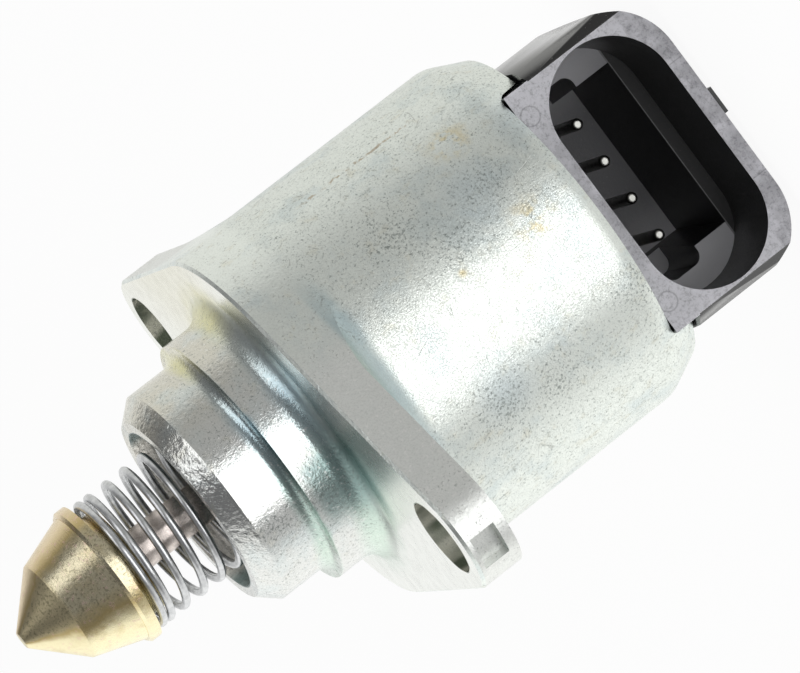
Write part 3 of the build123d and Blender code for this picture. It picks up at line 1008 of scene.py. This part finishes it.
@dataclass
class WireSpring:
    """Open coil spring between the nose bore and the rim of the valve cone."""

    mean_radius: float = 5.68
    wire_radius: float = 0.35
    turns: float = 10.25
    closed_turns: float = 1.75
    closed_share: float = 0.42
    end_angle: float = 20.0
    low: float = 3.35
    high: float = 18.15
    points_per_turn: int = 40
    sides: int = 14

    def path(self) -> list[Vector]:
        """Points of the wire's centre line, closer in pitch towards both ends.

        Returns:
            The points in metres.
        """
        count = round(self.turns * self.points_per_turn)
        share = np.arange(count + 1) / count * self.turns
        middle = (share[1:] + share[:-1]) / 2
        nearest = np.minimum(middle, self.turns - middle)
        rise = np.clip(nearest - self.closed_turns + 0.5, 0, 1)
        pitch = self.closed_share + (1 - self.closed_share) * rise * rise * (3 - 2 * rise)
        height = np.concatenate([[0.0], np.cumsum(pitch)])
        height = self.low + (self.high - self.low) * height / height[-1]
        angle = np.radians(self.end_angle) - 2 * math.pi * (share - self.turns)
        x = self.mean_radius * np.cos(angle)
        y = self.mean_radius * np.sin(angle)
        return [Vector(point) * MM for point in zip(x, y, height)]

    def guide(self) -> Piece:
        """Makes the curve that the wire follows.

        Returns:
            The curve object.
        """
        line = bpy.data.curves.new("spring_path", "CURVE")
        line.dimensions = "3D"
        spline = line.splines.new("POLY")
        points = self.path()
        spline.points.add(len(points) - 1)
        for point, place in zip(spline.points, points):
            point.co = (*place, 1.0)
        return new_object("spring_guide", line)

    def tree(self, material: Material) -> bpy.types.NodeTree:
        """Geometry nodes that sweep a round wire along a curve.

        Args:
            material: Finish of the wire.

        Returns:
            The node group.
        """
        group = bpy.data.node_groups.new("spring_wire", "GeometryNodeTree")
        for name, kind in (("Path", "Geometry"), ("Wire Radius", "Float"), ("Sides", "Int")):
            group.interface.new_socket(name, in_out="INPUT", socket_type="NodeSocket" + kind)
        group.interface.new_socket("Wire", in_out="OUTPUT", socket_type="NodeSocketGeometry")
        g = Graph(group)
        given = g.add("NodeGroupInput").outputs
        circle = {"Resolution": given["Sides"], "Radius": given["Wire Radius"]}
        ring = g.add("GeometryNodeCurvePrimitiveCircle", circle)
        sweep = {"Curve": given["Path"], "Profile Curve": ring.outputs["Curve"], "Fill Caps": True}
        wire = g.add("GeometryNodeCurveToMesh", sweep)
        smooth = g.add("GeometryNodeSetShadeSmooth", {"Geometry": wire.outputs["Mesh"]})
        real = g.add("GeometryNodeRealizeInstances", {"Geometry": smooth.outputs[0]})
        painted = g.add("GeometryNodeSetMaterial", {"Geometry": real.outputs[0], "Material": material})
        g.add("NodeGroupOutput", {"Wire": painted.outputs[0]})
        return group

    def build(self, material: Material) -> Piece:
        """Makes the spring and stands it for the CAD one.

        Args:
            material: Finish of the wire.

        Returns:
            The spring.
        """
        guide = self.guide()
        modifier = guide.modifiers.new("wire", "NODES")
        modifier.node_group = self.tree(material)
        identifiers = {item.name: item.identifier for item in modifier.node_group.interface.items_tree}
        modifier[identifiers["Wire Radius"]] = self.wire_radius * MM
        modifier[identifiers["Sides"]] = self.sides
        graph = bpy.context.evaluated_depsgraph_get()
        mesh = bpy.data.meshes.new_from_object(guide.evaluated_get(graph))
        guide.modifiers.clear()
        bpy.data.objects.remove(guide)
        piece = new_object("spring_wire", mesh)
        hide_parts("return_spring")
        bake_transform(piece)
        dress(piece, material)
        return piece


@dataclass
class ValveShell:
    """Housing, valve cone, shaft, connector and pins. Each finish has the name of its slot."""

    sharp_angle: float = 32.0
    cone_sharp_angle: float = 12.0
    zinc: ZincPlate = ZincPlate()
    gold: GoldChromate = GoldChromate()
    # Shaft colour: light pinkish steel, partly its own tone and partly a painted reflection of the gold cone.
    steel: BareMetal = BareMetal("shaft_steel", (0.72, 0.65, 0.61), (0.46, 0.41, 0.38), 0.19)
    plastic: ConnectorPlastic = ConnectorPlastic()
    tin: BareMetal = BareMetal("terminal_tin", (0.40, 0.40, 0.38), (0.30, 0.30, 0.28), 0.25)
    pins: Sequence[str] = ("terminal_1", "terminal_2", "terminal_3", "terminal_4")

    def build(self) -> None:
        """Makes the pieces and dresses them."""
        rows = (
            ("housing", "housing_shell", Body.VALVE, self.sharp_angle, self.zinc),
            ("pintle", "valve_cone", Body.PINTLE, self.cone_sharp_angle, self.gold),
            ("pintle_shaft", "screw_shaft", Body.PINTLE, self.sharp_angle, self.steel),
            ("end_cap", "connector_cap", Body.VALVE, self.sharp_angle, self.plastic),
        )
        for node, name, body, sharp, finish in rows:
            dress(smooth_copy(node, name, body, sharp), finish.build())
        tin = self.tin.build()
        for pin in self.pins:
            dress(smooth_copy(pin, pin + "_pin", Body.VALVE, self.sharp_angle), tin)


@dataclass
class InnerWorks:
    """Bearing, rotor and stator inside the can. Each finish has the name of its slot."""

    finishes: Sequence[PlainFinish] = (
        Moulded("guide_plastic", (0.70, 0.68, 0.60), (0.60, 0.58, 0.50)),
        BareMetal("bearing_steel", (0.62, 0.62, 0.62), (0.50, 0.50, 0.50), 0.13),
        BareMetal("cage_brass", (0.72, 0.55, 0.25), (0.58, 0.42, 0.18)),
        Moulded("rotor_plastic", (0.10, 0.10, 0.10), (0.14, 0.14, 0.14)),
        BareMetal("nut_brass", (0.76, 0.58, 0.26), (0.62, 0.46, 0.20)),
        Moulded("magnet_ferrite", (0.10, 0.10, 0.11), (0.16, 0.16, 0.17), 0.53),
        BareMetal("pole_steel", (0.56, 0.56, 0.54), (0.44, 0.44, 0.42), 0.30),
        Moulded("bobbin_plastic", (0.76, 0.74, 0.66), (0.68, 0.66, 0.58)),
        BareMetal("coil_copper", (0.62, 0.30, 0.16), (0.50, 0.22, 0.11), 0.25),
        BareMetal("bush_bronze", (0.66, 0.52, 0.36), (0.54, 0.42, 0.28), 0.35),
        Moulded("seal_rubber", (0.025, 0.025, 0.025), (0.045, 0.045, 0.045), 0.53),
    )

    def build(self, spring: Material) -> None:
        """Dresses each inner piece by its slot.

        Args:
            spring: Finish of the spring washer.
        """
        made = {finish.name: finish.build() for finish in self.finishes}
        made["spring_steel"] = spring
        for row in frame["record"]["subparts"]:
            slot = row["material_slot"]
            if slot in made and row["node"] != "return_spring":
                dress(frame["nodes"][row["node"]], made[slot])


@dataclass(frozen=True)
class View:
    """Direction to the camera, its level part, and the level direction to the lower right of the picture."""

    back: Vector
    level: Vector
    across: Vector


@dataclass(frozen=True)
class Softbox:
    """Area light that faces the valve.

    The turn runs from the camera towards the lower right of the picture and the height up from the level,
    in degrees. Size and distance are in metres, the power in watts.
    """

    name: str
    turn: float
    height: float
    size: Point
    power: float
    distance: float = 0.6
    aim_height: float = -0.008

    def build(self, view: View) -> None:
        """Adds the light.

        Args:
            view: Directions of the picture.
        """
        turn = math.radians(self.turn)
        rise = math.radians(self.height)
        flat = view.level * math.cos(turn) + view.across * math.sin(turn)
        direction = flat * math.cos(rise) + Vector((0, 0, math.sin(rise)))
        data = bpy.data.lights.new(self.name, "AREA")
        data.shape = "RECTANGLE"
        data.size, data.size_y = self.size
        data.energy = self.power
        light = new_object(self.name, data)
        light.location = direction * self.distance + Vector((0, 0, self.aim_height))
        light.rotation_mode = "QUATERNION"
        light.rotation_quaternion = direction.to_track_quat("Z", "Y")


@dataclass(frozen=True)
class Panel:
    """Part of the room with its own light, by direction to the camera, to the side and upwards."""

    colour: Colour
    toward: Band
    side: Band | None = None
    height: Band | None = None


@dataclass(frozen=True)
class Surround:
    """Light of the room: white table, white behind and right, darker on the camera's side."""

    room: Stops = ((0.45, (0.46, 0.46, 0.46)), (0.575, (0.31, 0.31, 0.31)),
                   (0.725, (0.29, 0.29, 0.29)), (0.90, (0.17, 0.17, 0.175)))
    table: Colour = (1.0, 1.0, 0.98)
    table_share: float = 0.60
    table_heights: Band = (0.12, -0.12)
    table_toward: Band = (0.75, 0.0)
    table_below: Band = (-0.35, -0.75)
    behind: Panel = Panel((1.0, 1.0, 0.99), (-0.10, -0.70), None, (0.60, 0.25))
    gap: Panel = Panel((0.46, 0.46, 0.45), (0.08, 0.24), (-0.25, -0.55), (0.15, -0.05))
    left: Panel = Panel((0.87, 0.87, 0.84), (0.05, -0.15), (-0.25, -0.50), (0.40, 0.15))
    right: Panel = Panel((1.20, 1.20, 1.18), (0.34, -0.25), (0.20, 0.50))

    def build(self, view: View) -> None:
        """Makes the world, plain white behind the valve.

        Args:
            view: Directions of the picture.
        """
        world = bpy.data.worlds.new("surround")
        bpy.context.scene.world = world
        world.use_nodes = True
        g = Graph(world.node_tree)
        direction = g.add("ShaderNodeTexCoord").outputs["Generated"]
        toward = g.dot(direction, view.level)
        side = g.dot(direction, view.across)
        height = g.split(direction)[2]
        table = g.times(g.band(height, *self.table_heights), g.band(toward, *self.table_toward))
        table = g.most(table, g.band(height, *self.table_below))
        light = g.ramp(g.scaled(height, 0.5, 0.5), self.room)
        light = g.mix(g.times(table, self.table_share), light, self.table)
        for panel in (self.behind, self.gap, self.left, self.right):
            bands = ((toward, panel.toward), (side, panel.side), (height, panel.height))
            masks = [g.band(value, *band) for value, band in bands if band is not None]
            light = g.mix(g.times(*masks), light, panel.colour)
        paths = g.add("ShaderNodeLightPath")
        colour = g.mix(paths.outputs["Is Camera Ray"], light, WHITE)
        shader = g.add("ShaderNodeBackground", {0: colour, 1: 1.0})
        g.add("ShaderNodeOutputWorld", {0: shader.outputs[0]})


@dataclass(frozen=True)
class Floor:
    """White floor under the valve that keeps a faint shadow."""

    half_width: float = 3.0
    clearance: float = 0.0002
    colour: Colour = (0.85, 0.85, 0.85)
    glow: float = 0.93
    shadow: Colour = (0.10, 0.10, 0.10)
    corners: Sequence[Point] = ((-1, -1), (1, -1), (1, 1), (-1, 1))

    def build(self, low: float) -> None:
        """Lays the floor.

        Args:
            low: Lowest height of the valve in metres.
        """
        level = low - self.clearance
        corners = [(x * self.half_width, y * self.half_width, level) for x, y in self.corners]
        mesh = bpy.data.meshes.new("floor")
        mesh.from_pydata(corners, [], [(0, 1, 2, 3)])
        floor = new_object("floor", mesh)
        material, g = new_material("floor_white")
        camera = g.add("ShaderNodeLightPath").outputs["Is Camera Ray"]
        soft = g.add("ShaderNodeBsdfDiffuse", {0: self.colour})
        glow = g.add("ShaderNodeEmission", {0: WHITE, 1: self.glow})
        dim = g.add("ShaderNodeBsdfDiffuse", {0: self.shadow})
        seen = g.add("ShaderNodeAddShader", {0: glow.outputs[0], 1: dim.outputs[0]})
        mix = g.add("ShaderNodeMixShader", {0: camera, 1: soft.outputs[0], 2: seen.outputs[0]})
        g.add("ShaderNodeOutputMaterial", {0: mix.outputs[0]})
        mesh.materials.append(material)
        floor.visible_glossy = False


@dataclass
class Studio:
    """Camera, softboxes, white surround and floor."""

    azimuth: float = 5.2
    elevation: float = 11.9
    distance: float = 0.48
    lens: float = 270.0
    sensor_width: float = 36.0
    clip_start: float = 0.01
    axis_height: float = -11.5
    axis_offset: float = 0.63
    nose_direction: Point = (-0.78524, -0.61919)
    roll: float = 0.38
    key: Softbox = Softbox("key", 15.5, -12.0, (0.65, 0.44), 1.68)
    left: Softbox = Softbox("left", -51.0, 46.0, (0.30, 0.54), 0.70)
    surround: Surround = Surround()
    floor: Floor = Floor()

    def view(self) -> View:
        """Directions of the picture.

        Returns:
            The directions.
        """
        azimuth = math.radians(self.azimuth)
        rise = math.radians(self.elevation)
        level = Vector((math.sin(azimuth), -math.cos(azimuth), 0))
        across = Vector((-math.cos(azimuth), -math.sin(azimuth), 0))
        return View(level * math.cos(rise) + Vector((0, 0, math.sin(rise))), level, across)

    def camera(self, view: View) -> None:
        """Makes the camera that looks as the photograph does.

        Args:
            view: Directions of the picture.
        """
        rise = math.radians(self.elevation)
        along = (Vector((0, 0, 1)) - view.back * math.sin(rise)) / math.cos(rise)
        turn = math.radians(-self.roll)
        nose_x, nose_y = self.nose_direction
        right = nose_x * math.cos(turn) - nose_y * math.sin(turn)
        up = nose_x * math.sin(turn) + nose_y * math.cos(turn)
        x = along * right - view.across * up
        y = along * up + view.across * right
        target = Vector((0, 0, self.axis_height)) * MM - view.across * (self.axis_offset * MM)
        data = bpy.data.cameras.new("camera")
        data.lens = self.lens
        data.sensor_width = self.sensor_width
        data.sensor_fit = "HORIZONTAL"
        data.clip_start = self.clip_start
        camera = new_object("camera", data)
        rotation = Matrix((x, y, view.back)).transposed().to_4x4()
        camera.matrix_world = Matrix.Translation(target + view.back * self.distance) @ rotation
        bpy.context.scene.camera = camera

    def build(self) -> None:
        """Sets the stage."""
        bpy.context.scene.view_settings.view_transform = "Standard"
        view = self.view()
        self.camera(view)
        for light in (self.surround, self.key, self.left):
            light.build(view)
        self.floor.build(cad_low.z)


def main() -> None:
    """Builds the valve's looks in order."""
    logging.basicConfig(level=logging.INFO)
    spring = BareMetal("spring_steel", (0.68, 0.69, 0.70), (0.50, 0.51, 0.52), 0.23)
    steel = spring.build()
    ValveShell().build()
    WireSpring().build(steel)
    InnerWorks().build(steel)
    Studio().build()


if __name__ == "__main__":
    main()
